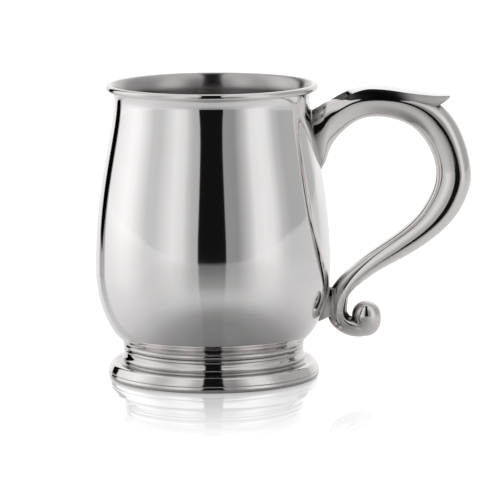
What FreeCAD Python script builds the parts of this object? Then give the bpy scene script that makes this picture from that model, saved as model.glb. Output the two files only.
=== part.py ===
"""Lidless one-pint pewter tankard: bellied body, stepped foot and hollow double-curve handle.

Millimetres. The body axis is Z, the foot stands on z = 0 and the handle lies towards +X.
"""

import FreeCAD, Part
import math
import os

# ---- driving dimensions -------------------------------------------------------------------
WALL = 1.5                      # thickness of the spun body wall

NECK_R, NECK_Z = 40.0, 114.3    # narrowest ring, just under the lip
BELLY_R, BELLY_Z = 48.28, 44.2  # widest ring of the body
SEAT_R, SEAT_Z = 39.7, 17.3     # ring where the body sits in the foot
NECK_PULL = (0.4, 13.8)         # curve handle below the neck: outwards, downwards
BELLY_PULL_UP = 34.8            # curve handles above and below the belly
BELLY_PULL_DOWN = 13.0
SEAT_PULL = (3.4, 3.2)          # curve handle above the seat: outwards, upwards
FLOOR_R, FLOOR_Z = 29.0, 13.4   # flat bottom of the cup, seen from below
FLOOR_THICK = 1.8

LIP_WIRE_R = 42.0               # ring radius of the round wire that stiffens the lip
LIP_WIRE_Z = 119.3
LIP_WIRE_THICK = 2.9            # diameter of that wire

FOOT_WALL = 1.4                 # thickness of the spun foot
FOOT_R = 43.4                   # widest ring of the foot
FOOT_BASE_R = 42.9              # outer edge of the standing ring
FOOT_STAND_IN = 38.8            # inner edge of the standing ring
FOOT_NECK_R = 36.6              # the foot's wall stands behind this ring
FOOT_WAIST_R = 36.25            # narrowest ring of the foot

SOLDER_LOW_Z, SOLDER_HIGH_Z = 12.9, 15.6    # fillet of solder inside the foot
SOLDER_EDGE_Z = 13.95
SOLDER_REACH = 2.0
SEAM = 0.5                      # leg of the solder seams on the outside

# Stations along the handle: x and z on its inner edge, x and z on its outer edge, width in Y.
# The inner edge faces the fingers; past the lower end it becomes the outside of the scroll.
HANDLE = [
    (40.0, 83.0, 38.5, 108.6, 14.0),
    (44.9, 85.8, 42.2, 110.2, 13.6),
    (47.0, 89.8, 45.2, 112.0, 13.2),
    (48.9, 94.8, 48.0, 113.4, 12.8),
    (52.9, 100.0, 52.0, 114.8, 12.2),
    (59.5, 105.0, 58.0, 116.8, 11.8),
    (67.6, 106.6, 67.4, 117.5, 11.8),
    (75.6, 105.2, 77.6, 116.8, 12.2),
    (82.4, 101.8, 87.6, 114.4, 12.6),
    (87.5, 96.0, 96.6, 108.4, 13.2),
    (90.5, 89.7, 102.9, 97.6, 13.9),
    (91.6, 83.3, 106.0, 84.6, 14.6),
    (90.6, 77.2, 104.8, 75.2, 15.2),
    (87.6, 70.9, 100.6, 66.6, 15.7),
    (82.4, 64.3, 93.0, 58.3, 15.9),
    (73.6, 57.2, 81.4, 50.1, 15.0),
    (63.4, 50.0, 69.4, 43.6, 13.2),
    (54.4, 42.5, 60.3, 37.2, 11.4),
    (49.6, 37.2, 56.0, 32.5, 10.0),
    (47.2, 32.4, 55.3, 29.4, 9.3),
    (46.7, 27.0, 55.0, 26.2, 9.0),
    (48.0, 21.6, 56.6, 23.9, 9.0),
    (51.6, 17.8, 58.8, 24.1, 9.4),
    (56.6, 15.6, 60.4, 24.0, 9.4),
    (62.4, 15.6, 62.4, 23.4, 7.6),
    (67.0, 18.8, 64.4, 22.4, 4.4),
]
# The ridge along each side of the handle: station, how far it lies towards the outer edge,
# its softness, and the roundness of the section on its inner and its outer side.
RIDGE = [
    (0, 0.25, 2.0, 2.0, 2.0),
    (2, 0.32, 2.2, 2.0, 2.0),
    (4, 0.38, 1.4, 2.0, 1.3),
    (7, 0.40, 1.5, 2.0, 1.4),
    (9, 0.18, 1.9, 2.2, 2.0),
    (11, 0.28, 2.0, 2.8, 2.0),
    (13, 0.32, 1.9, 3.4, 2.0),
    (15, 0.24, 1.6, 3.4, 2.0),
    (17, 0.38, 1.5, 2.6, 2.0),
    (18, 0.60, 1.6, 2.2, 1.2),
    (20, 0.56, 1.6, 2.0, 0.8),
    (21, 0.37, 1.6, 2.0, 0.6),
    (22, 0.12, 1.8, 2.0, 0.6),
    (23, 0.02, 2.0, 2.0, 0.8),
    (25, 0.00, 2.0, 2.0, 1.6),
]
HANDLE_WALL = 2.0               # thickness of the hollow cast handle
HOLLOW_FROM, HOLLOW_TO = 3, 17  # the stations between which the handle is hollow
SECTION_STEPS = 12              # steps from the outer to the inner edge of a section
LAST = len(HANDLE) - 1          # number of the last station
ROOT_STATION = 4                # the root of the handle ends here
FLAT = 1e-6                     # an edge this thin in Y lies in the middle plane
SIDE_SPACE = 140                # edge of a block that covers all of one side of the handle

BALL_X, BALL_Z, BALL_R = 63.0, 24.3, 6.0    # ball at the end of the lower scroll

# Stations along the thumb leaf: x, top z, bottom z, width at the top edge, width at its root,
# and how far the top edges lie below the middle of the top.
LEAF = [
    (48.2, 113.4, 110.6, 3.0, 3.6, 2.0),
    (52.0, 115.7, 111.4, 5.6, 7.0, 2.5),
    (54.8, 117.1, 112.6, 7.6, 9.2, 2.1),
    (57.0, 118.1, 113.6, 9.4, 10.4, 1.6),
    (61.5, 119.2, 114.3, 10.6, 11.2, 1.1),
    (66.0, 119.6, 114.5, 11.2, 11.8, 1.1),
    (72.5, 119.1, 114.3, 11.8, 12.0, 1.1),
    (79.0, 118.0, 113.2, 12.4, 11.6, 1.0),
    (86.0, 116.9, 111.8, 12.2, 9.4, 0.8),
    (92.0, 116.0, 111.2, 10.8, 7.4, 0.5),
    (97.2, 115.6, 114.7, 8.4, 6.0, 0.2),
]

LUG_X = (42.0, 51.0)            # the lug bridges the gap between body and scroll
LUG_TOP_Z, LUG_LOW_Z = 36.2, 22.2
LUG_WIDTH = 7.6
LUG_ARCH = 1.8                  # rise of the arch under the lug


def point(radius, height):
    """A point of the half plane y = 0."""
    return FreeCAD.Vector(radius, 0, height)


def line(start, end):
    return Part.makeLine(start, end)


def arc(start, through, end):
    return Part.Arc(start, through, end).toShape()


def bezier(*poles):
    curve = Part.BezierCurve()
    curve.setPoles(list(poles))
    return curve.toShape()


def spin(edges):
    """Solid of revolution about Z from a closed outline in the half plane."""
    face = Part.Face(Part.Wire(edges))
    return face.revolve(FreeCAD.Vector(0, 0, 0), FreeCAD.Vector(0, 0, 1), 360)


def only_solid(shape):
    """The largest solid of a shape, so that every node holds one clean piece."""
    return max(shape.Solids, key=lambda solid: solid.Volume)


def body_curve(inset):
    """Neck to seat, in two Bezier curves, moved inwards by inset."""
    neck = point(NECK_R - inset, NECK_Z)
    belly = point(BELLY_R - inset, BELLY_Z)
    slope = inset * math.sqrt(0.5)
    seat = point(SEAT_R - slope, SEAT_Z + slope)
    upper = bezier(
        neck,
        neck + FreeCAD.Vector(NECK_PULL[0], 0, -NECK_PULL[1]),
        belly + FreeCAD.Vector(0, 0, BELLY_PULL_UP),
        belly,
    )
    lower = bezier(
        belly,
        belly - FreeCAD.Vector(0, 0, BELLY_PULL_DOWN),
        seat + FreeCAD.Vector(SEAT_PULL[0], 0, SEAT_PULL[1]),
        seat,
    )
    return [upper, lower], neck, seat


def lip_wire():
    """Round wire soldered along the flared edge of the mouth."""
    return Part.makeTorus(LIP_WIRE_R, LIP_WIRE_THICK / 2, FreeCAD.Vector(0, 0, LIP_WIRE_Z))


def body_shell():
    """Spun cup: flared lip, belly, and a bottom that turns in to a flat floor."""
    outer, neck, seat = body_curve(0)
    inner, neck_in, seat_in = body_curve(WALL)
    lip_out = point(LIP_WIRE_R - 0.3, LIP_WIRE_Z - 0.6)
    lip_in = point(LIP_WIRE_R - 1.3, LIP_WIRE_Z - 0.2)
    floor_out = point(FLOOR_R, FLOOR_Z)
    floor_in = point(FLOOR_R - 0.6, FLOOR_Z + FLOOR_THICK)
    axis_low = point(0, FLOOR_Z)
    axis_high = point(0, FLOOR_Z + FLOOR_THICK)
    edges = [
        bezier(lip_out, lip_out + FreeCAD.Vector(-1.2, 0, -0.9), neck + FreeCAD.Vector(0, 0, 1.6), neck),
        *outer,
        bezier(seat, seat - FreeCAD.Vector(3.4, 0, 3.3), floor_out + FreeCAD.Vector(4.6, 0, 0), floor_out),
        line(floor_out, axis_low),
        line(axis_low, axis_high),
        line(axis_high, floor_in),
        bezier(floor_in, floor_in + FreeCAD.Vector(4.6, 0, 0), seat_in - FreeCAD.Vector(3.2, 0, 3.1), seat_in),
        *reversed(inner),
        bezier(neck_in, neck_in + FreeCAD.Vector(0, 0, 1.6), lip_in + FreeCAD.Vector(-0.8, 0, -1.2), lip_in),
        line(lip_in, lip_out),
    ]
    return only_solid(spin(edges).cut(lip_wire()))


def foot_outline():
    """Outer outline of the foot, from its seat under the body down to the floor."""
    seat = point(39.4, 17.1)
    collar_low = point(36.9, 14.05)
    waist = point(FOOT_WAIST_R, 12.2)
    bead_top = point(37.0, 11.55)
    bead_low = point(36.5, 10.65)
    band_top = point(37.85, 8.45)
    band_low = point(37.5, 6.85)
    flange_top = point(39.0, 6.1)
    shoulder = point(42.35, 5.0)
    groove_top = point(43.25, 2.6)
    groove_low = point(43.1, 2.3)
    stand_out = point(FOOT_BASE_R, 0)
    return [
        bezier(seat, point(38.7, 16.4), point(38.0, 15.3), collar_low),
        arc(collar_low, point(37.2, 13.3), waist),
        line(waist, bead_top),
        arc(bead_top, point(37.05, 11.1), bead_low),
        bezier(bead_low, point(36.5, 9.9), point(37.4, 9.3), band_top),
        arc(band_top, point(37.85, 7.7), band_low),
        bezier(band_low, point(37.55, 6.3), point(38.2, 6.05), flange_top),
        bezier(flange_top, point(41.5, 6.5), point(42.0, 6.0), shoulder),
        bezier(shoulder, point(42.7, 4.2), point(43.1, 3.5), groove_top),
        line(groove_top, groove_low),
        arc(groove_low, point(FOOT_R, 1.3), stand_out),
    ], seat, stand_out


def foot_ring():
    """Spun hollow foot with a stepped neck over a wide rounded flange."""
    outline, seat, stand_out = foot_outline()
    stand_in = point(FOOT_STAND_IN, 0)
    inner_low = point(FOOT_STAND_IN, 1.6)
    inner_bend = point(40.6, 4.0)
    inner_neck = point(FOOT_NECK_R - FOOT_WALL, 7.2)
    inner_top = point(FOOT_NECK_R - FOOT_WALL, 14.6)
    edges = [
        *outline,
        line(stand_out, stand_in),
        line(stand_in, inner_low),
        bezier(inner_low, point(40.4, 1.9), point(41.0, 3.0), inner_bend),
        bezier(inner_bend, point(40.2, 5.2), point(35.8, 4.4), inner_neck),
        line(inner_neck, inner_top),
        line(inner_top, seat),
    ]
    return only_solid(spin(edges).cut(cup_envelope()))


def cup_envelope(growth=0):
    """The body as a full solid, used to trim whatever is soldered on to it."""
    outer, neck, seat = body_curve(-growth)
    floor_out = point(FLOOR_R, FLOOR_Z)
    edges = [
        *outer,
        bezier(seat, seat - FreeCAD.Vector(3.4, 0, 3.3), floor_out + FreeCAD.Vector(4.6, 0, 0), floor_out),
        line(floor_out, point(0, FLOOR_Z)),
        line(point(0, FLOOR_Z), point(0, NECK_Z)),
        line(point(0, NECK_Z), neck),
    ]
    return spin(edges)


def foot_solder():
    """Fillet of solder in the corner between the cup's bottom and the inside of the foot."""
    wall = FOOT_NECK_R - FOOT_WALL
    low = point(wall, SOLDER_LOW_Z)
    corner = point(wall, SOLDER_HIGH_Z)
    inward = point(wall - SOLDER_REACH, SOLDER_HIGH_Z)
    edge = point(wall - SOLDER_REACH, SOLDER_EDGE_Z)
    ring = spin([line(low, corner), line(corner, inward), line(inward, edge), line(edge, low)])
    return only_solid(ring.cut(cup_envelope()).cut(foot_ring()))


def ridge_at(number):
    """Shift, softness and two roundnesses of the side ridge at a numbered station."""
    for low, high in zip(RIDGE, RIDGE[1:]):
        if number <= high[0]:
            share = (number - low[0]) / (high[0] - low[0])
            return [start + share * (end - start) for start, end in zip(low[1:], high[1:])]


def half_section(number, inset, side):
    """Points over one side of a ridged oval, from its outer edge to its inner edge."""
    inner_x, inner_z, outer_x, outer_z, width = HANDLE[number]
    shift, softness, inner_round, outer_round = ridge_at(number)
    inner = point(inner_x, inner_z)
    outer = point(outer_x, outer_z)
    centre = (inner + outer) * 0.5
    reach = (outer - inner).Length / 2 - inset
    across = (outer - inner).normalize()
    half_width = width / 2 - inset
    points = []
    for step in range(SECTION_STEPS + 1):
        cosine = math.cos(math.pi * step / SECTION_STEPS)
        offset = reach * (shift + cosine - shift * abs(cosine))
        roundness = outer_round if cosine > 0 else inner_round
        bulge = half_width * (1 - min(1, abs(cosine)) ** softness) ** (1 / roundness)
        points.append(centre + across * offset + FreeCAD.Vector(0, side * bulge, 0))
    return points


def half_handle(first, last, inset, side):
    """One half of the handle between two stations, as a full solid with a flat face on y = 0."""
    surface = Part.BSplineSurface()
    surface.interpolate([half_section(number, inset, side) for number in range(first, last + 1)])
    skin = surface.toShape()
    flat_edges = [edge for edge in skin.Edges if edge.BoundBox.YLength < FLAT]
    end_edges = [edge for edge in skin.Edges if edge.BoundBox.YLength >= FLAT]
    chords = [line(edge.Vertexes[0].Point, edge.Vertexes[1].Point) for edge in end_edges]
    faces = [skin, Part.Face(Part.Wire(Part.__sortEdges__(flat_edges + chords)))]
    for edge, chord in zip(end_edges, chords):
        faces.append(Part.Face(Part.Wire([edge, chord])))
    shell = Part.makeShell(faces)
    shell.sewShape()
    corner = FreeCAD.Vector(0, min(0, side) * SIDE_SPACE, 0)
    own_side = Part.makeBox(SIDE_SPACE, SIDE_SPACE, SIDE_SPACE, corner)
    return only_solid(Part.makeSolid(Part.Shell(shell.Faces)).common(own_side))


def handle_half(side):
    """One half of the hollow handle, trimmed where it meets the body and the ball."""
    outside = half_handle(0, LAST, 0, side)
    void = half_handle(HOLLOW_FROM, HOLLOW_TO, HANDLE_WALL, side)
    return only_solid(outside.cut(void).cut(cup_envelope()).cut(scroll_ball()))


def without_handle(shape):
    """A shape with the handle's own space taken out of it."""
    return shape.cut(half_handle(0, LAST, 0, 1)).cut(half_handle(0, LAST, 0, -1))


def scroll_ball():
    """Ball that ends the lower scroll."""
    return Part.makeSphere(BALL_R, point(BALL_X, BALL_Z))


def leaf_section(x, top, bottom, top_width, root_width, crown):
    """Mushroom-shaped section: crowned top, sharp edges and hollow flanks."""
    half_top = top_width / 2
    half_root = root_width / 2
    edge_z = top - crown
    crown_pole = edge_z + crown * 4 / 3
    waist_z = edge_z - 0.45 * (edge_z - bottom)
    waist = min(half_top, half_root) * 0.98
    right_edge = FreeCAD.Vector(x, half_top, edge_z)
    left_edge = FreeCAD.Vector(x, -half_top, edge_z)
    right_root = FreeCAD.Vector(x, half_root, bottom)
    left_root = FreeCAD.Vector(x, -half_root, bottom)
    left_pole = FreeCAD.Vector(x, -half_top / 2, crown_pole)
    right_pole = FreeCAD.Vector(x, half_top / 2, crown_pole)
    return Part.Wire([
        bezier(left_edge, left_pole, right_pole, right_edge),
        bezier(right_edge, FreeCAD.Vector(x, waist, waist_z), right_root),
        line(right_root, left_root),
        bezier(left_root, FreeCAD.Vector(x, -waist, waist_z), left_edge),
    ])


def thumb_leaf():
    """Cast leaf on top of the handle, ending in a free tip for the thumb."""
    sections = [leaf_section(*station) for station in LEAF]
    leaf = Part.makeLoft(sections, True, False)
    return only_solid(without_handle(leaf.cut(cup_envelope())))


def lug_block(growth=0):
    """Arched block that reaches from inside the body wall into the scroll."""
    inner_x, outer_x = LUG_X
    low_z = LUG_LOW_Z - growth
    top_z = LUG_TOP_Z + growth
    width = LUG_WIDTH + 2 * growth
    low_in = point(inner_x, low_z)
    low_out = point(outer_x, low_z)
    arch = point((inner_x + outer_x) / 2, low_z + LUG_ARCH)
    face = Part.Face(Part.Wire([
        arc(low_in, arch, low_out),
        line(low_out, point(outer_x, top_z)),
        line(point(outer_x, top_z), point(inner_x, top_z)),
        line(point(inner_x, top_z), low_in),
    ]))
    face.translate(FreeCAD.Vector(0, -width / 2, 0))
    return face.extrude(FreeCAD.Vector(0, width, 0))


def lower_lug():
    """Short arched strut between the body and the lower scroll."""
    return only_solid(without_handle(lug_block().cut(cup_envelope())))


def seam_on_body(grown):
    """The part of a grown shape that lies within a seam's leg of the body."""
    return grown.common(cup_envelope(SEAM)).cut(cup_envelope())


def upper_solder():
    """Seam of solder round the root of the handle."""
    grown = half_handle(0, ROOT_STATION, -SEAM, 1).fuse(half_handle(0, ROOT_STATION, -SEAM, -1))
    return only_solid(without_handle(seam_on_body(grown)))


def lower_solder():
    """Seam of solder round the lower lug."""
    return only_solid(without_handle(seam_on_body(lug_block(SEAM)).cut(lower_lug())))


def write_parts():
    os.makedirs("parts", exist_ok=True)
    nodes = {
        "body_shell": body_shell(),
        "lip_wire": lip_wire(),
        "foot_ring": foot_ring(),
        "foot_solder": foot_solder(),
        "handle_half_left": handle_half(1),
        "handle_half_right": handle_half(-1),
        "thumb_leaf": thumb_leaf(),
        "scroll_ball": scroll_ball(),
        "lower_lug": lower_lug(),
        "upper_solder": upper_solder(),
        "lower_solder": lower_solder(),
    }
    for name, shape in nodes.items():
        shape.exportStep(f"parts/{name}.step")
        box = shape.BoundBox
        print(
            f"{name:18s} solids {len(shape.Solids)} valid {shape.isValid()} volume {shape.Volume:9.1f}"
            f"  x {box.XMin:7.2f} {box.XMax:7.2f}  y {box.YMin:7.2f} {box.YMax:7.2f}"
            f"  z {box.ZMin:7.2f} {box.ZMax:7.2f}"
        )


write_parts()
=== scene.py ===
"""Lidless pewter tankard on a white table, between two soft white panels with a dark gap in front.

Shapes are written in millimetres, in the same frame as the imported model, and turned into metres
when a mesh is made. The body axis is Z and the handle lies towards +X.
"""

import math

import bmesh
import bpy
import numpy as np
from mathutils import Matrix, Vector
from mathutils.geometry import interpolate_bezier


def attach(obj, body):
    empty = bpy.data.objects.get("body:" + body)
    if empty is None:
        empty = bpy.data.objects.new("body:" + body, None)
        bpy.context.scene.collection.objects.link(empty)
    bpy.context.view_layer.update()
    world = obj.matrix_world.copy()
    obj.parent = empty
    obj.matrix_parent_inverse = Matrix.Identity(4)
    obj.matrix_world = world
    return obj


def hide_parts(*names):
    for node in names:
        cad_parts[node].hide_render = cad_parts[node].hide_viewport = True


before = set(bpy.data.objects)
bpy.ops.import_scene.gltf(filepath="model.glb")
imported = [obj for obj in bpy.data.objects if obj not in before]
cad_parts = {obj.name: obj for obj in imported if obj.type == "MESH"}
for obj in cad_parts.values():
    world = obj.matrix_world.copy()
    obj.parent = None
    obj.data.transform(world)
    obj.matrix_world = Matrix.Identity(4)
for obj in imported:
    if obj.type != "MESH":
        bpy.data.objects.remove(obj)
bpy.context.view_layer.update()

MM = 0.001
TURN = 2 * math.pi

# ---- shape of the spun parts, millimetres ---------------------------------------------------
WALL = 1.5
NECK = (40.0, 114.3)            # radius and height of the narrowest ring under the lip
BELLY = (48.28, 44.2)           # widest ring of the body
SEAT = (39.7, 17.3)             # ring where the body sits in the foot
FLOOR_R, FLOOR_Z = 29.0, 13.4   # flat bottom of the cup
FLOOR_THICK = 1.8
LIP_R, LIP_Z, LIP_THICK = 42.0, 119.3, 2.9
FOOT_WALL = 1.4
FOOT_R = 43.4                   # widest ring of the foot
FOOT_BASE_R = 42.9
FOOT_STAND_IN = 38.8
FOOT_NECK_R = 36.6
FOOT_WAIST_R = 36.25            # narrowest ring of the foot
LATHE_STEPS = 240               # facets round a spun part
CURVE_STEPS = 40                # points along one Bezier curve of an outline

# ---- shape of the cast parts, millimetres ---------------------------------------------------
# Stations along the handle: x and z on its inner edge, x and z on its outer edge, width in Y.
HANDLE = [
    (40.0, 83.0, 38.5, 108.6, 14.0),
    (44.9, 85.8, 42.2, 110.2, 13.6),
    (47.0, 89.8, 45.2, 112.0, 13.2),
    (48.9, 94.8, 48.0, 113.4, 12.8),
    (52.9, 100.0, 52.0, 114.8, 12.2),
    (59.5, 105.0, 58.0, 116.8, 11.8),
    (67.6, 106.6, 67.4, 117.5, 11.8),
    (75.6, 105.2, 77.6, 116.8, 12.2),
    (82.4, 101.8, 87.6, 114.4, 12.6),
    (87.5, 96.0, 96.6, 108.4, 13.2),
    (90.5, 89.7, 102.9, 97.6, 13.9),
    (91.6, 83.3, 106.0, 84.6, 14.6),
    (90.6, 77.2, 104.8, 75.2, 15.2),
    (87.6, 70.9, 100.6, 66.6, 15.7),
    (82.4, 64.3, 93.0, 58.3, 15.9),
    (73.6, 57.2, 81.4, 50.1, 15.0),
    (63.4, 50.0, 69.4, 43.6, 13.2),
    (54.4, 42.5, 60.3, 37.2, 11.4),
    (49.6, 37.2, 56.0, 32.5, 10.0),
    (47.2, 32.4, 55.3, 29.4, 9.3),
    (46.7, 27.0, 55.0, 26.2, 9.0),
    (48.0, 21.6, 56.6, 23.9, 9.0),
    (51.6, 17.8, 58.8, 24.1, 9.4),
    (56.6, 15.6, 60.4, 24.0, 9.4),
    (62.4, 15.6, 62.4, 23.4, 7.6),
    (67.0, 18.8, 64.4, 22.4, 4.4),
]
# The ridge along each side of the handle: station, how far it lies towards the outer edge,
# its softness, and the roundness of the section on its inner and its outer side.
RIDGE = [
    (0, 0.25, 2.0, 2.0, 2.0),
    (2, 0.32, 2.2, 2.0, 2.0),
    (4, 0.38, 1.4, 2.0, 1.3),
    (7, 0.40, 1.5, 2.0, 1.4),
    (9, 0.18, 1.9, 2.2, 2.0),
    (11, 0.28, 1.75, 2.8, 2.0),
    (13, 0.32, 1.6, 3.4, 2.0),
    (15, 0.24, 1.6, 3.4, 2.0),
    (17, 0.38, 1.5, 2.6, 2.0),
    (18, 0.60, 1.6, 2.2, 1.2),
    (20, 0.56, 1.6, 2.0, 0.8),
    (21, 0.37, 1.6, 2.0, 0.6),
    (22, 0.12, 1.8, 2.0, 0.6),
    (23, 0.02, 2.0, 2.0, 0.8),
    (25, 0.00, 2.0, 2.0, 1.6),
]
SWEEP_STEPS = 12                # rows of the mesh between two stations
SECTION_STEPS = 64              # points round one section of the handle
BALL_X, BALL_Z, BALL_R = 63.0, 24.3, 6.0
BALL_SWELL = 2.85               # how far the ball swells downwards into the strap under it
SWELL_TURN = math.radians(-100) # direction of that swelling, from +X towards +Z
SWELL_FADE = (1.4, 0.83)        # how fast it fades on the strap's side and on the free side

# Stations along the thumb leaf: x, top z, bottom z, width at the top edge, width at its root,
# and how far the top edges lie below the middle of the top.
LEAF = [
    (48.2, 113.4, 110.6, 3.0, 3.6, 2.0),
    (52.0, 115.7, 111.4, 5.6, 7.0, 2.5),
    (54.8, 117.1, 112.6, 7.6, 9.2, 2.1),
    (57.0, 118.1, 113.6, 9.4, 10.4, 1.6),
    (61.5, 119.2, 114.3, 10.6, 11.2, 1.1),
    (66.0, 119.6, 114.5, 11.2, 11.8, 1.1),
    (72.5, 119.1, 114.3, 11.8, 12.0, 1.1),
    (79.0, 118.0, 113.2, 12.4, 11.6, 1.0),
    (86.0, 116.9, 111.8, 12.2, 9.4, 0.8),
    (92.0, 116.0, 111.2, 10.8, 7.4, 0.5),
    (97.2, 115.6, 114.7, 8.4, 6.0, 0.2),
]
LEAF_CROWN = 1.4                # 1 makes the top of the leaf a roof, 2 makes it a round crown
# Share of the tone left under the painted dark shadow on the leaf's top and the painted dark reflection on
# its flanks, by X in metres.
TOP_PAINTED_SHADOW = [(0.0550, 0.10), (0.0565, 1.0)]
FLANK_PAINTED_REFLECTION = [(0.074, 0.10), (0.086, 1.0)]
LEAF_STEPS = 16                 # points across one side of a leaf section
LUG_X = (42.5, 50.5)            # the lug bridges the gap between body and scroll
LUG_LOW_Z, LUG_TOP_Z = 22.2, 36.2
LUG_WIDTH = 7.6
SUNK = 0.6                      # how deep a joined piece reaches into the body wall


# ---- outlines -------------------------------------------------------------------------------
def bezier(*poles, steps=CURVE_STEPS):
    """Points along a cubic Bezier curve given by four (radius, height) poles."""
    ends = [Vector((*pole, 0)) for pole in poles]
    return [(p.x, p.y) for p in interpolate_bezier(ends[0], ends[1], ends[2], ends[3], steps)]


def arc(start, through, end, steps=12):
    """Points along the circular arc through three (radius, height) points."""
    (ax, ay), (bx, by), (cx, cy) = start, through, end
    d = 2 * (ax * (by - cy) + bx * (cy - ay) + cx * (ay - by))
    a2, b2, c2 = ax * ax + ay * ay, bx * bx + by * by, cx * cx + cy * cy
    ux = (a2 * (by - cy) + b2 * (cy - ay) + c2 * (ay - by)) / d
    uy = (a2 * (cx - bx) + b2 * (ax - cx) + c2 * (bx - ax)) / d
    radius = math.hypot(ax - ux, ay - uy)
    first = math.atan2(ay - uy, ax - ux)
    middle = (math.atan2(by - uy, bx - ux) - first) % TURN
    sweep = (math.atan2(cy - uy, cx - ux) - first) % TURN
    if middle > sweep:
        sweep -= TURN
    angles = [first + sweep * step / steps for step in range(steps + 1)]
    return [(ux + radius * math.cos(a), uy + radius * math.sin(a)) for a in angles]


def joined(*runs):
    """One outline from several runs of points, without repeating shared ends."""
    outline = []
    for run in runs:
        for point in run:
            if not outline or math.dist(outline[-1], point) > 1e-4:
                outline.append(point)
    return outline


def body_side(inset):
    """The body's side from its neck down to its seat, moved inwards by inset."""
    slope = inset * math.sqrt(0.5)
    neck = (NECK[0] - inset, NECK[1])
    belly = (BELLY[0] - inset, BELLY[1])
    seat = (SEAT[0] - slope, SEAT[1] + slope)
    upper = bezier(neck, (neck[0] + 0.4, neck[1] - 13.8), (belly[0], belly[1] + 34.8), belly, steps=72)
    lower = bezier(belly, (belly[0], belly[1] - 13.0), (seat[0] + 3.4, seat[1] + 3.2), seat)
    return joined(upper, lower)


BODY_SIDE = body_side(0)
SIDE_RISING = BODY_SIDE[::-1]


def body_radius(height):
    """Outer radius of the body at a height between its seat and its neck."""
    return float(np.interp(height, [z for r, z in SIDE_RISING], [r for r, z in SIDE_RISING]))


# ---- meshes ---------------------------------------------------------------------------------
def make_piece(name, points, faces, materials, crease=38):
    """A smooth-shaded mesh object from points in millimetres; edges sharper than crease stay sharp."""
    mesh = bpy.data.meshes.new(name)
    mesh.from_pydata([Vector(point) * MM for point in points], [], faces)
    builder = bmesh.new()
    builder.from_mesh(mesh)
    bmesh.ops.recalc_face_normals(builder, faces=builder.faces)
    builder.to_mesh(mesh)
    builder.free()
    mesh.shade_smooth()
    mesh.set_sharp_from_angle(angle=math.radians(crease))
    for material in materials:
        mesh.materials.append(material)
    piece = bpy.data.objects.new(name, mesh)
    bpy.context.scene.collection.objects.link(piece)
    return piece


def lathe(name, outline, materials, closed):
    """Spins an outline of (radius, height) points round Z; a point on the axis is one vertex."""
    points = []
    rings = []
    for radius, height in outline:
        if radius < 1e-6:
            rings.append([len(points)] * LATHE_STEPS)
            points.append((0, 0, height))
            continue
        rings.append([len(points) + step for step in range(LATHE_STEPS)])
        for step in range(LATHE_STEPS):
            angle = TURN * step / LATHE_STEPS
            points.append((radius * math.cos(angle), radius * math.sin(angle), height))
    faces = []
    pairs = list(zip(rings, rings[1:]))
    if closed:
        pairs.append((rings[-1], rings[0]))
    for low, high in pairs:
        for step in range(LATHE_STEPS):
            after = (step + 1) % LATHE_STEPS
            corners = [low[step], low[after], high[after], high[step]]
            faces.append(list(dict.fromkeys(corners)))
    return make_piece(name, points, faces, materials)


def smooth_rows(stations, steps):
    """Rows of numbers on natural cubic splines through the stations, with steps rows between two."""
    table = np.array(stations, float)
    count = len(table)
    matrix = np.eye(count)
    right = np.zeros_like(table)
    for i in range(1, count - 1):
        matrix[i, i - 1:i + 2] = (1, 4, 1)
        right[i] = 6 * (table[i + 1] - 2 * table[i] + table[i - 1])
    bend = np.linalg.solve(matrix, right)
    rows = []
    for i in range(count - 1):
        for step in range(steps):
            t = step / steps
            s = 1 - t
            rows.append(
                s * table[i] + t * table[i + 1]
                + ((s ** 3 - s) * bend[i] + (t ** 3 - t) * bend[i + 1]) / 6
            )
    rows.append(table[-1])
    return rows


def skin(name, sections, materials, crease=38):
    """Closed sections of equal length joined into one capped tube."""
    size = len(sections[0])
    points = [point for section in sections for point in section]
    faces = []
    for row in range(len(sections) - 1):
        for i in range(size):
            j = (i + 1) % size
            faces.append([row * size + i, row * size + j, (row + 1) * size + j, (row + 1) * size + i])
    last = (len(sections) - 1) * size
    faces.append(list(range(size)))
    faces.append([last + i for i in range(size)])
    return make_piece(name, points, faces, materials, crease)


def kept_out_of_cup(point):
    """Moves a point that lies deep inside the body along X, to just below the body's surface."""
    x, y, z = point
    limit = body_radius(z) - SUNK
    if math.hypot(x, y) >= limit:
        return point
    return (math.sqrt(limit ** 2 - y ** 2), y, z)


# ---- materials ------------------------------------------------------------------------------
RECESS_REACH = 0.008            # how far away a wall still makes a recess for the painted recess shade, metres
RECESS_OPEN = (0.45, 0.95)      # openness where the painted recess shade is full, and where it ends
LINE_STRETCH = 0.02             # how much slower turning lines change along than across them


def node_tools(name):
    """A new material with its Principled shader, and a function that adds linked nodes."""
    material = bpy.data.materials.new(name)
    material.use_nodes = True
    tree = material.node_tree
    shader = tree.nodes["Principled BSDF"]

    def add(kind, links=(), **values):
        node = tree.nodes.new(kind)
        for key, value in values.items():
            setattr(node, key, value)
        for source, socket in links:
            tree.links.new(source, node.inputs[socket])
        return node

    return material, tree, shader, add


def grey(value, warmth=0.0):
    return (value * (1 + warmth), value, value * (1 - 0.3 * warmth), 1)


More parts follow.
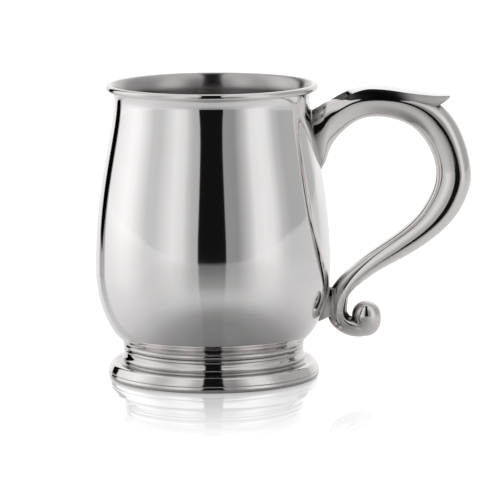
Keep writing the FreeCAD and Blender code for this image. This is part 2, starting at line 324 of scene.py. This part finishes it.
def pewter(name, tone, warmth, roughness, spread, line_size, line_depth, wave_size, wave_depth,
           recess_shade=1.0):
    """Polished pewter: soft tone changes, fine turning lines across Z and a slight hand-made wave.

    Sizes and depths are in metres; the last argument is the share of the tone left in deep recesses, where
    the darkening is painted shade.
    """
    material, tree, shader, add = node_tools(name)
    shader.inputs["Metallic"].default_value = 1
    where = add("ShaderNodeTexCoord")
    stretch = add("ShaderNodeMapping", [(where.outputs["Object"], "Vector")])
    along = LINE_STRETCH / line_size
    stretch.inputs["Scale"].default_value = (along, along, 1 / line_size)
    lines = add("ShaderNodeTexNoise", [(stretch.outputs["Vector"], "Vector")])
    lines.inputs["Scale"].default_value = 1
    lines.inputs["Detail"].default_value = 3
    wave = add("ShaderNodeTexNoise", [(where.outputs["Object"], "Vector")])
    wave.inputs["Scale"].default_value = 1 / wave_size
    wave.inputs["Detail"].default_value = 1
    tint = add("ShaderNodeMix", [(wave.outputs["Fac"], "Factor")], data_type="RGBA")
    tint.inputs["A"].default_value = grey(tone * 0.97, warmth + 0.005)
    tint.inputs["B"].default_value = grey(tone * 1.02, warmth - 0.005)
    # Painted shade in recesses: the tone is darkened where ambient occlusion finds walls close by.
    recess = add("ShaderNodeAmbientOcclusion")
    recess.inputs["Distance"].default_value = RECESS_REACH
    painted_recess_shade = add("ShaderNodeMapRange", [(recess.outputs["AO"], "Value")])
    painted_recess_shade.inputs["From Min"].default_value = RECESS_OPEN[0]
    painted_recess_shade.inputs["From Max"].default_value = RECESS_OPEN[1]
    painted_recess_shade.inputs["To Min"].default_value = recess_shade
    painted_recess_shade.inputs["To Max"].default_value = 1
    shaded_tone = add("ShaderNodeVectorMath", [(tint.outputs["Result"], 0)], operation="SCALE")
    tree.links.new(painted_recess_shade.outputs["Result"], shaded_tone.inputs["Scale"])
    tree.links.new(shaded_tone.outputs["Vector"], shader.inputs["Base Color"])
    gloss = add("ShaderNodeMapRange", [(lines.outputs["Fac"], "Value")])
    gloss.inputs["To Min"].default_value = roughness - spread
    gloss.inputs["To Max"].default_value = roughness + spread
    tree.links.new(gloss.outputs["Result"], shader.inputs["Roughness"])
    swell = add("ShaderNodeBump", [(wave.outputs["Fac"], "Height")])
    swell.inputs["Distance"].default_value = wave_depth
    scored = add("ShaderNodeBump", [(lines.outputs["Fac"], "Height"), (swell.outputs["Normal"], "Normal")])
    scored.inputs["Distance"].default_value = line_depth
    tree.links.new(scored.outputs["Normal"], shader.inputs["Normal"])
    return material


def outside_pewter():
    """Mirror-polished outside of the body."""
    return pewter(
        "outside_pewter", tone=0.90, warmth=0.015, roughness=0.055, spread=0.015,
        line_size=0.0005, line_depth=0.0000012, wave_size=0.011, wave_depth=0.000004,
    )


def lip_pewter():
    """The edge wire: a shade warmer and duller than the body, from handling."""
    return pewter(
        "lip_pewter", tone=0.75, warmth=0.03, roughness=0.07, spread=0.02,
        line_size=0.0005, line_depth=0.0000012, wave_size=0.011, wave_depth=0.000004,
    )


def inside_pewter():
    """Satin inside of the cup: turning marks run round it and smear reflections up and down."""
    material = pewter(
        "inside_pewter", tone=0.53, warmth=0.03, roughness=0.24, spread=0.05,
        line_size=0.0006, line_depth=0.00002, wave_size=0.011, wave_depth=0.00001,
    )
    tree = material.node_tree
    shader = tree.nodes["Principled BSDF"]
    shader.inputs["Anisotropic"].default_value = 0.95
    shader.inputs["Anisotropic Rotation"].default_value = 0.25
    around = tree.nodes.new("ShaderNodeTangent")
    around.direction_type = "RADIAL"
    around.axis = "Z"
    tree.links.new(around.outputs["Tangent"], shader.inputs["Tangent"])
    return material


def foot_pewter():
    """Spun foot: its tone is set darker than the body's, a painted shade standing for its darker
    reflections, and a little painted shade lies between its rings.
    """
    return pewter(
        "foot_pewter", tone=0.80, warmth=0.03, roughness=0.06, spread=0.015,
        line_size=0.0005, line_depth=0.000001, wave_size=0.011, wave_depth=0.000002, recess_shade=0.5,
    )


def cast_pewter():
    """Polished castings of the handle, ball and lug, with painted shade that makes their grooves black."""
    return pewter(
        "cast_pewter", tone=0.78, warmth=0.035, roughness=0.065, spread=0.015,
        line_size=0.0008, line_depth=0.000001, wave_size=0.011, wave_depth=0.000006, recess_shade=0.08,
    )


def leaf_top_pewter():
    """Top of the leaf: polished like the handle, with a painted dark shadow where it springs from it and
    painted shade in its recesses.
    """
    material = pewter(
        "leaf_top_pewter", tone=0.92, warmth=0.01, roughness=0.07, spread=0.02,
        line_size=0.0008, line_depth=0.000002, wave_size=0.004, wave_depth=0.000006, recess_shade=0.6,
    )
    return painted_dark_near_root(material, TOP_PAINTED_SHADOW)


def leaf_flank_pewter():
    """Chased flanks of the leaf: a painted dark reflection at the root that fades to grey towards the tip,
    and painted shade in their recesses.
    """
    material = pewter(
        "leaf_flank_pewter", tone=0.62, warmth=0.03, roughness=0.20, spread=0.06,
        line_size=0.0007, line_depth=0.00003, wave_size=0.004, wave_depth=0.00002, recess_shade=0.3,
    )
    return painted_dark_near_root(material, FLANK_PAINTED_REFLECTION)


def painted_dark_near_root(material, painted_ends):
    """Scales the tone of a pewter by X, between the two (X, share) ends of the painted dark near the
    leaf's root.
    """
    tree = material.node_tree
    tone = tree.nodes["Principled BSDF"].inputs["Base Color"]
    clean = tone.links[0].from_socket
    where = tree.nodes.new("ShaderNodeTexCoord")
    split = tree.nodes.new("ShaderNodeSeparateXYZ")
    tree.links.new(where.outputs["Object"], split.inputs["Vector"])
    share = tree.nodes.new("ShaderNodeMapRange")
    share.interpolation_type = "SMOOTHSTEP"
    tree.links.new(split.outputs["X"], share.inputs["Value"])
    share.inputs["From Min"].default_value, share.inputs["To Min"].default_value = painted_ends[0]
    share.inputs["From Max"].default_value, share.inputs["To Max"].default_value = painted_ends[1]
    darkened = tree.nodes.new("ShaderNodeVectorMath")
    darkened.operation = "SCALE"
    tree.links.new(clean, darkened.inputs[0])
    tree.links.new(share.outputs["Result"], darkened.inputs["Scale"])
    tree.links.new(darkened.outputs["Vector"], tone)
    return material


def solder_grey():
    """Satin solder of the three seams."""
    return pewter(
        "solder_grey", tone=0.60, warmth=0.03, roughness=0.25, spread=0.05,
        line_size=0.0012, line_depth=0.000004, wave_size=0.004, wave_depth=0.00003,
    )


# ---- pieces ---------------------------------------------------------------------------------
def body_piece(outside, inside):
    """The cup as one closed skin: polished outside, satin inside."""
    lip_out = (LIP_R - 0.3, LIP_Z - 0.6)
    lip_in = (LIP_R - 0.81, LIP_Z + 1.2)
    floor_out = (FLOOR_R, FLOOR_Z)
    floor_in = (FLOOR_R - 0.6, FLOOR_Z + FLOOR_THICK)
    side_in = body_side(WALL)
    neck_in, seat_in = side_in[0], side_in[-1]
    outer = joined(
        bezier(lip_out, (lip_out[0] - 1.2, lip_out[1] - 0.9), (NECK[0], NECK[1] + 1.6), NECK),
        BODY_SIDE,
        bezier(SEAT, (SEAT[0] - 3.4, SEAT[1] - 3.3), (FLOOR_R + 4.6, FLOOR_Z), floor_out),
        [(0, FLOOR_Z)],
    )
    inner = joined(
        [(0, FLOOR_Z + FLOOR_THICK)],
        bezier(floor_in, (floor_in[0] + 4.6, floor_in[1]), (seat_in[0] - 3.2, seat_in[1] - 3.1), seat_in),
        side_in[::-1],
        bezier(neck_in, (neck_in[0], neck_in[1] + 2.6), (lip_in[0] - 1.3, lip_in[1] - 0.88), lip_in),
    )
    outline = inner + outer
    piece = lathe("tankard_body", outline, [outside, inside], closed=False)
    inner_faces = (len(inner) - 1) * LATHE_STEPS
    for face in piece.data.polygons[:inner_faces]:
        face.material_index = 1
    return piece


def lip_piece(material):
    radius = LIP_THICK / 2
    steps = 40
    angles = [TURN * step / steps for step in range(steps)]
    outline = [(LIP_R + radius * math.cos(a), LIP_Z + radius * math.sin(a)) for a in angles]
    return lathe("lip_bead", outline, [material], closed=True)


def foot_piece(material):
    """Hollow foot: collar, waist, a small ring and a barrel band over a wide rounded flange."""
    neck_in = FOOT_NECK_R - FOOT_WALL
    inner_bend = (40.6, 4.0)
    outline = joined(
        bezier((39.4, 17.1), (38.7, 16.4), (38.0, 15.3), (36.9, 14.05), steps=16),
        arc((36.9, 14.05), (37.2, 13.3), (FOOT_WAIST_R, 12.2), steps=8),
        arc((37.0, 11.55), (37.05, 11.1), (36.5, 10.65), steps=6),
        bezier((36.5, 10.65), (36.5, 9.9), (37.4, 9.3), (37.85, 8.45), steps=12),
        arc((37.85, 8.45), (37.85, 7.7), (37.5, 6.85), steps=8),
        bezier((37.5, 6.85), (37.55, 6.3), (38.2, 6.05), (39.0, 6.1), steps=12),
        bezier((39.0, 6.1), (41.5, 6.5), (42.0, 6.0), (42.35, 5.0), steps=24),
        bezier((42.35, 5.0), (42.7, 4.2), (43.1, 3.5), (43.25, 2.6), steps=12),
        arc((43.1, 2.3), (FOOT_R, 1.3), (FOOT_BASE_R, 0)),
        [(FOOT_STAND_IN, 0)],
        bezier((FOOT_STAND_IN, 1.6), (40.4, 1.9), (41.0, 3.0), inner_bend, steps=12),
        bezier(inner_bend, (40.2, 5.2), (35.8, 4.4), (neck_in, 7.2), steps=16),
        [(neck_in, 14.0)],
    )
    return lathe("foot_spun", outline, [material], closed=True)


def handle_piece(material):
    """The double-curve handle as one skin, with its root cut to the body."""
    sections = []
    knots = np.array(RIDGE, float)
    for row, (inner_x, inner_z, outer_x, outer_z, width) in enumerate(smooth_rows(HANDLE, SWEEP_STEPS)):
        shift, softness, inner_round, outer_round = [
            np.interp(row / SWEEP_STEPS, knots[:, 0], knots[:, i]) for i in range(1, 5)
        ]
        centre = Vector(((inner_x + outer_x) / 2, 0, (inner_z + outer_z) / 2))
        across = Vector((outer_x - inner_x, 0, outer_z - inner_z))
        reach = across.length / 2
        across.normalize()
        section = []
        for step in range(SECTION_STEPS):
            angle = TURN * step / SECTION_STEPS
            cosine = math.cos(angle)
            offset = reach * (shift + cosine - shift * abs(cosine))
            roundness = outer_round if cosine > 0 else inner_round
            bulge = width / 2 * max(0.0, 1 - abs(cosine) ** softness) ** (1 / roundness)
            point = centre + across * offset
            section.append(kept_out_of_cup((point.x, math.copysign(bulge, math.sin(angle)), point.z)))
        sections.append(section)
    return skin("scroll_handle", sections, [material])


def leaf_section(x, top, bottom, top_width, root_width, crown):
    """Mushroom-shaped section: crowned top, sharp edges and hollow flanks."""
    half_top = top_width / 2
    half_root = root_width / 2
    edge_z = top - crown
    waist = (min(half_top, half_root) * 0.98, edge_z - 0.45 * (edge_z - bottom))
    section = []
    for step in range(-LEAF_STEPS, LEAF_STEPS + 1):
        share = step / LEAF_STEPS
        section.append((x, half_top * share, top - crown * abs(share) ** LEAF_CROWN))
    flank = []
    for step in range(1, LEAF_STEPS + 1):
        t = step / LEAF_STEPS
        s = 1 - t
        y = s * s * half_top + 2 * s * t * waist[0] + t * t * half_root
        z = s * s * edge_z + 2 * s * t * waist[1] + t * t * bottom
        flank.append((y, z))
    section += [(x, y, z) for y, z in flank]
    section += [(x, -y, z) for y, z in reversed(flank)]
    return section


def leaf_piece(top, flank):
    rows = smooth_rows(LEAF, SWEEP_STEPS)
    sections = [leaf_section(*row) for row in rows]
    piece = skin("thumb_leaf_cast", sections, [top, flank], crease=30)
    size = len(sections[0])
    for number, face in enumerate(piece.data.polygons[:size * (len(sections) - 1)]):
        face.material_index = int(number % size >= 2 * LEAF_STEPS)
    return piece


def ball_piece(material):
    """Ball at the end of the scroll, spun about Y so that its poles lie at the sides."""
    rings = 48
    steps = 64
    sections = []
    for ring in range(1, rings):
        polar = math.pi * ring / rings
        y = -BALL_R * math.cos(polar)
        section = []
        for step in range(steps):
            angle = TURN * step / steps
            away = math.remainder(angle - SWELL_TURN, TURN)
            fade = min(abs(away) * SWELL_FADE[away > 0], math.pi / 2)
            swell = BALL_SWELL * math.cos(fade) ** 2
            radius = (BALL_R + swell * math.sin(polar)) * math.sin(polar)
            section.append((BALL_X + radius * math.cos(angle), y, BALL_Z + radius * math.sin(angle)))
        sections.append(section)
    return skin("scroll_ball_cast", sections, [material])


def lug_piece(material):
    """Waisted strut between the body and the scroll, arched underneath."""
    sections = []
    steps = 12
    for step in range(steps + 1):
        share = step / steps
        x = LUG_X[0] + share * (LUG_X[1] - LUG_X[0])
        pinch = math.sin(math.pi * share ** 2)
        half = LUG_WIDTH / 2 - 0.5 * pinch
        low = LUG_LOW_Z + 1.8 * pinch
        top = LUG_TOP_Z - 0.4 * pinch
        sections.append([kept_out_of_cup(point) for point in rounded_box(x, half, low, top)])
    return skin("lug_cast", sections, [material])


def rounded_box(x, half, low, top):
    """Section across X: a box of the given half width with round corners."""
    radius = 1.2
    section = []
    corners = [(1, 1, 0), (-1, 1, 1), (-1, -1, 2), (1, -1, 3)]
    for side, end, quarter in corners:
        centre_y = side * (half - radius)
        centre_z = top - radius if end > 0 else low + radius
        for step in range(5):
            angle = math.pi / 2 * (quarter + step / 4)
            section.append((x, centre_y + radius * math.cos(angle), centre_z + radius * math.sin(angle)))
    return section


def build_tankard():
    outside = outside_pewter()
    cast = cast_pewter()
    solder = solder_grey()
    made = [
        (body_piece(outside, inside_pewter()), ["body_shell"], "body_pewter"),
        (lip_piece(lip_pewter()), ["lip_wire"], "body_pewter"),
        (foot_piece(foot_pewter()), ["foot_ring"], "foot_pewter"),
        (handle_piece(cast), ["handle_half_left", "handle_half_right"], "cast_pewter"),
        (leaf_piece(leaf_top_pewter(), leaf_flank_pewter()), ["thumb_leaf"], "cast_pewter"),
        (ball_piece(cast), ["scroll_ball"], "cast_pewter"),
        (lug_piece(cast), ["lower_lug"], "cast_pewter"),
    ]
    for piece, nodes, slot in made:
        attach(piece, "root")
        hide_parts(*nodes)
    for node in ("foot_solder", "upper_solder", "lower_solder"):
        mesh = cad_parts[node].data
        mesh.materials.clear()
        mesh.materials.append(solder)


# ---- table, light and camera ----------------------------------------------------------------
TABLE_FRONT = -730              # the table's front edge, millimetres
# The table also ends where a second dark gap stands behind it on the left, millimetres.
TABLE_NOTCH = [(-2500, 4000), (-382, 611), (-312, 301), (-4000, 3866)]
GAP = (-0.250, 0.228)           # sideways reach of the dark gap, as shares of a direction
GAP_TAPER = 0.5                 # how much narrower the gap is overhead
GAP_BACK = 0.17                 # how far past the zenith the gap runs
HIGH = (35, 60)                 # degrees above the horizon where the panels turn into the ceiling
# Brightness all round, by compass angle: 0 is towards the camera, 90 towards the handle.
PANELS = [
    (-180, 1.02), (-160, 0.95), (-149, 0.85), (-148, 0.0), (-134, 0.0), (-133, 0.86), (-120, 0.95),
    (-100, 1.05), (-90, 0.98), (-80, 0.80), (-70, 0.61), (-60, 0.59), (-50, 0.72), (-40, 0.85),
    (-30, 0.76), (-24, 0.56), (-20, 0.48), (-10, 0.44), (10, 0.30), (25, 0.28), (37, 0.56),
    (44, 0.80), (54, 0.86), (63, 0.83), (70, 0.67), (74, 0.55), (85, 0.43), (110, 0.45),
    (131, 0.50), (137, 0.74), (150, 0.88), (180, 1.02),
]
CEILING = 0.75
GAP_DARK = 0.006
TABLE_GLOW = 0.08               # light the table sends up away from the tankard
GLOW_FROM = (0.05, 0.12)        # metres from the shade where that light starts and is full
SHADE_AT = (0.008, -0.056, 0)    # middle of the soft shade on the table under the tankard, metres
# Whiteness of the table by distance from there.
SHADE = [(0.02, 0.46), (0.042, 0.60), (0.062, 0.82), (0.085, 0.96), (0.20, 0.98)]
FRONT_DIM_AT = (0, -0.60, 0)     # middle of the dimmer part of the table near the dark gap, metres
FRONT_DIM = [(0.12, 0.52), (0.62, 1.0)]     # share of the whiteness left, by distance from there
MIRROR_FADE = [(0.04, 0.62), (0.18, 0.0)]   # how mirror-like the floor looks, by distance from the axis
FLOOR_WHITE = 1.25
BACKDROP_WHITE = 1.06
SHELL_R = 6000                  # radius of the backdrop shell, millimetres
CAMERA_AT = (0.0111, -1.5207, 0.2881)
CAMERA_AIM = (0.0111, 0, 0.05586)
CAMERA_LENS = 280.7             # millimetres
CAMERA_ROLL = -0.0063


def light_the_room():
    """World light: white panels all round with a dark gap towards the camera, white above."""
    world = bpy.data.worlds.new("studio")
    bpy.context.scene.world = world
    world.use_nodes = True
    tree = world.node_tree
    where = tree.nodes.new("ShaderNodeTexCoord")
    split = tree.nodes.new("ShaderNodeSeparateXYZ")
    tree.links.new(where.outputs["Generated"], split.inputs["Vector"])

    def maths(operation, first, second=None):
        node = tree.nodes.new("ShaderNodeMath")
        node.operation = operation
        for socket, value in zip(node.inputs, (first, second)):
            if isinstance(value, (int, float)):
                socket.default_value = value
            elif value is not None:
                tree.links.new(value, socket)
        return node.outputs["Value"]

    towards = maths("MULTIPLY", split.outputs["Y"], -1.0)
    compass = maths("ARCTAN2", split.outputs["X"], towards)
    share = maths("ADD", maths("DIVIDE", compass, TURN), 0.5)
    ramp = tree.nodes.new("ShaderNodeValToRGB")
    tree.links.new(share, ramp.inputs["Fac"])
    stops = ramp.color_ramp.elements
    while len(stops) > 1:
        stops.remove(stops[-1])
    stops[0].position = 0
    stops[0].color = grey(PANELS[0][1])
    for angle, value in PANELS[1:]:
        stops.new(angle / 360 + 0.5).color = grey(value)
    rise = maths("ARCSINE", split.outputs["Z"])
    high = tree.nodes.new("ShaderNodeMapRange")
    tree.links.new(rise, high.inputs["Value"])
    high.inputs["From Min"].default_value = math.radians(HIGH[0])
    high.inputs["From Max"].default_value = math.radians(HIGH[1])
    panels = tree.nodes.new("ShaderNodeMix")
    panels.data_type = "RGBA"
    tree.links.new(high.outputs["Result"], panels.inputs["Factor"])
    tree.links.new(ramp.outputs["Color"], panels.inputs["A"])
    panels.inputs["B"].default_value = grey(CEILING)
    upwards = maths("MAXIMUM", split.outputs["Z"], 0.0)
    narrowing = maths("SUBTRACT", 1.0, maths("MULTIPLY", upwards, GAP_TAPER))
    sideways = maths("DIVIDE", split.outputs["X"], narrowing)
    right_of_left = maths("GREATER_THAN", sideways, GAP[0])
    left_of_right = maths("LESS_THAN", sideways, GAP[1])
    in_front = maths("LESS_THAN", split.outputs["Y"], GAP_BACK)
    inside = maths("MULTIPLY", maths("MULTIPLY", right_of_left, left_of_right), in_front)
    gap = tree.nodes.new("ShaderNodeMix")
    gap.data_type = "RGBA"
    tree.links.new(inside, gap.inputs["Factor"])
    tree.links.new(panels.outputs["Result"], gap.inputs["A"])
    gap.inputs["B"].default_value = grey(GAP_DARK)
    tree.links.new(gap.outputs["Result"], tree.nodes["Background"].inputs["Color"])


def disc(name, radius, height, material):
    """A flat round sheet on the Z axis."""
    steps = 96
    points = [(0, 0, height)]
    points += [
        (radius * math.cos(TURN * i / steps), radius * math.sin(TURN * i / steps), height)
        for i in range(steps)
    ]
    faces = [[0, 1 + i, 1 + (i + 1) % steps] for i in range(steps)]
    return make_piece(name, points, faces, [material])


def only_seen_by(piece, camera=False, glossy=False, diffuse=False, shadow=False):
    piece.visible_camera = camera
    piece.visible_glossy = glossy
    piece.visible_diffuse = diffuse
    piece.visible_transmission = glossy
    piece.visible_shadow = shadow


def white_table():
    """Glossy white acrylic sheet with a soft shade under the tankard, seen only by the tankard."""
    material, tree, shader, add = node_tools("table_acrylic")
    where = add("ShaderNodeTexCoord")
    off = add("ShaderNodeVectorMath", [(where.outputs["Object"], 0)], operation="SUBTRACT")
    off.inputs[1].default_value = SHADE_AT
    far = add("ShaderNodeVectorMath", [(off.outputs["Vector"], 0)], operation="LENGTH")
    share = add("ShaderNodeMath", [(far.outputs["Value"], 0)], operation="DIVIDE")
    share.inputs[1].default_value = SHADE[-1][0]
    ramp = add("ShaderNodeValToRGB", [(share.outputs["Value"], "Fac")])
    stops = ramp.color_ramp.elements
    stops[0].position, stops[0].color = SHADE[0][0] / SHADE[-1][0], grey(SHADE[0][1])
    stops[1].position, stops[1].color = 1, grey(SHADE[-1][1])
    for distance, value in SHADE[1:-1]:
        stops.new(distance / SHADE[-1][0]).color = grey(value)
    ahead = add("ShaderNodeVectorMath", [(where.outputs["Object"], 0)], operation="DISTANCE")
    ahead.inputs[1].default_value = FRONT_DIM_AT
    dim = add("ShaderNodeMapRange", [(ahead.outputs["Value"], "Value")])
    dim.inputs["From Min"].default_value, dim.inputs["To Min"].default_value = FRONT_DIM[0]
    dim.inputs["From Max"].default_value, dim.inputs["To Max"].default_value = FRONT_DIM[1]
    dimmed = add("ShaderNodeVectorMath", [(ramp.outputs["Color"], 0)], operation="SCALE")
    tree.links.new(dim.outputs["Result"], dimmed.inputs["Scale"])
    tree.links.new(dimmed.outputs["Vector"], shader.inputs["Base Color"])
    lit = add("ShaderNodeMapRange", [(far.outputs["Value"], "Value")])
    lit.inputs["From Min"].default_value = GLOW_FROM[0]
    lit.inputs["From Max"].default_value = GLOW_FROM[1]
    lit.inputs["To Max"].default_value = TABLE_GLOW
    shader.inputs["Emission Color"].default_value = grey(1)
    glow = add(
        "ShaderNodeMath", [(lit.outputs["Result"], 0), (dim.outputs["Result"], 1)], operation="MULTIPLY",
    )
    tree.links.new(glow.outputs["Value"], shader.inputs["Emission Strength"])
    shader.inputs["Roughness"].default_value = 0.08
    shader.inputs["IOR"].default_value = 1.5
    corners = [(-4000, TABLE_FRONT), (4000, TABLE_FRONT), (4000, 4000), *TABLE_NOTCH]
    outline = list(range(len(corners)))
    table = make_piece("table_sheet", [(x, y, -0.6) for x, y in corners], [outline], [material])
    only_seen_by(table, glossy=True, diffuse=True)
    return table


def bright_floor():
    """What the camera sees of the table: burnt-out white with a fading mirror image."""
    material, tree, _, add = node_tools("floor_white")
    where = add("ShaderNodeTexCoord")
    far = add("ShaderNodeVectorMath", [(where.outputs["Object"], 0)], operation="LENGTH")
    fade = add("ShaderNodeMapRange", [(far.outputs["Value"], "Value")])
    fade.inputs["From Min"].default_value, fade.inputs["To Min"].default_value = MIRROR_FADE[0]
    fade.inputs["From Max"].default_value, fade.inputs["To Max"].default_value = MIRROR_FADE[1]
    mirror = add("ShaderNodeBsdfGlossy")
    mirror.inputs["Roughness"].default_value = 0.02
    mirror.inputs["Color"].default_value = grey(1)
    glow = add("ShaderNodeEmission")
    glow.inputs["Color"].default_value = grey(1)
    glow.inputs["Strength"].default_value = FLOOR_WHITE
    both = add("ShaderNodeMixShader", [
        (fade.outputs["Result"], 0), (glow.outputs["Emission"], 1), (mirror.outputs["BSDF"], 2),
    ])
    tree.links.new(both.outputs["Shader"], tree.nodes["Material Output"].inputs["Surface"])
    floor = disc("floor_sheet", 4000, -0.3, material)
    only_seen_by(floor, camera=True)
    return floor


def white_backdrop():
    """A white shell far behind everything, seen only by the camera."""
    material, tree, _, add = node_tools("backdrop_white")
    glow = add("ShaderNodeEmission")
    glow.inputs["Color"].default_value = grey(1)
    glow.inputs["Strength"].default_value = BACKDROP_WHITE
    tree.links.new(glow.outputs["Emission"], tree.nodes["Material Output"].inputs["Surface"])
    angles = np.linspace(-math.pi / 2, math.pi / 2, 33)
    outline = [(max(0.0, SHELL_R * math.cos(a)), SHELL_R * math.sin(a)) for a in angles]
    shell = lathe("backdrop_shell", outline, [material], closed=False)
    only_seen_by(shell, camera=True)
    return shell


def place_camera():
    """Long lens, slightly above the rim, aimed at the middle of the picture."""
    data = bpy.data.cameras.new("camera")
    data.sensor_width = 36
    data.lens = CAMERA_LENS
    data.clip_start = 0.1
    data.clip_end = 50
    camera = bpy.data.objects.new("camera", data)
    bpy.context.scene.collection.objects.link(camera)
    camera.location = CAMERA_AT
    turn = (Vector(CAMERA_AIM) - camera.location).to_track_quat("-Z", "Y").to_matrix().to_4x4()
    camera.rotation_mode = "XYZ"
    camera.rotation_euler = turn.to_euler()
    camera.rotation_euler.rotate_axis("Z", CAMERA_ROLL)
    bpy.context.scene.camera = camera


build_tankard()
light_the_room()
white_table()
bright_floor()
white_backdrop()
place_camera()
bpy.context.scene.view_settings.view_transform = "Standard"
bpy.context.view_layer.update()
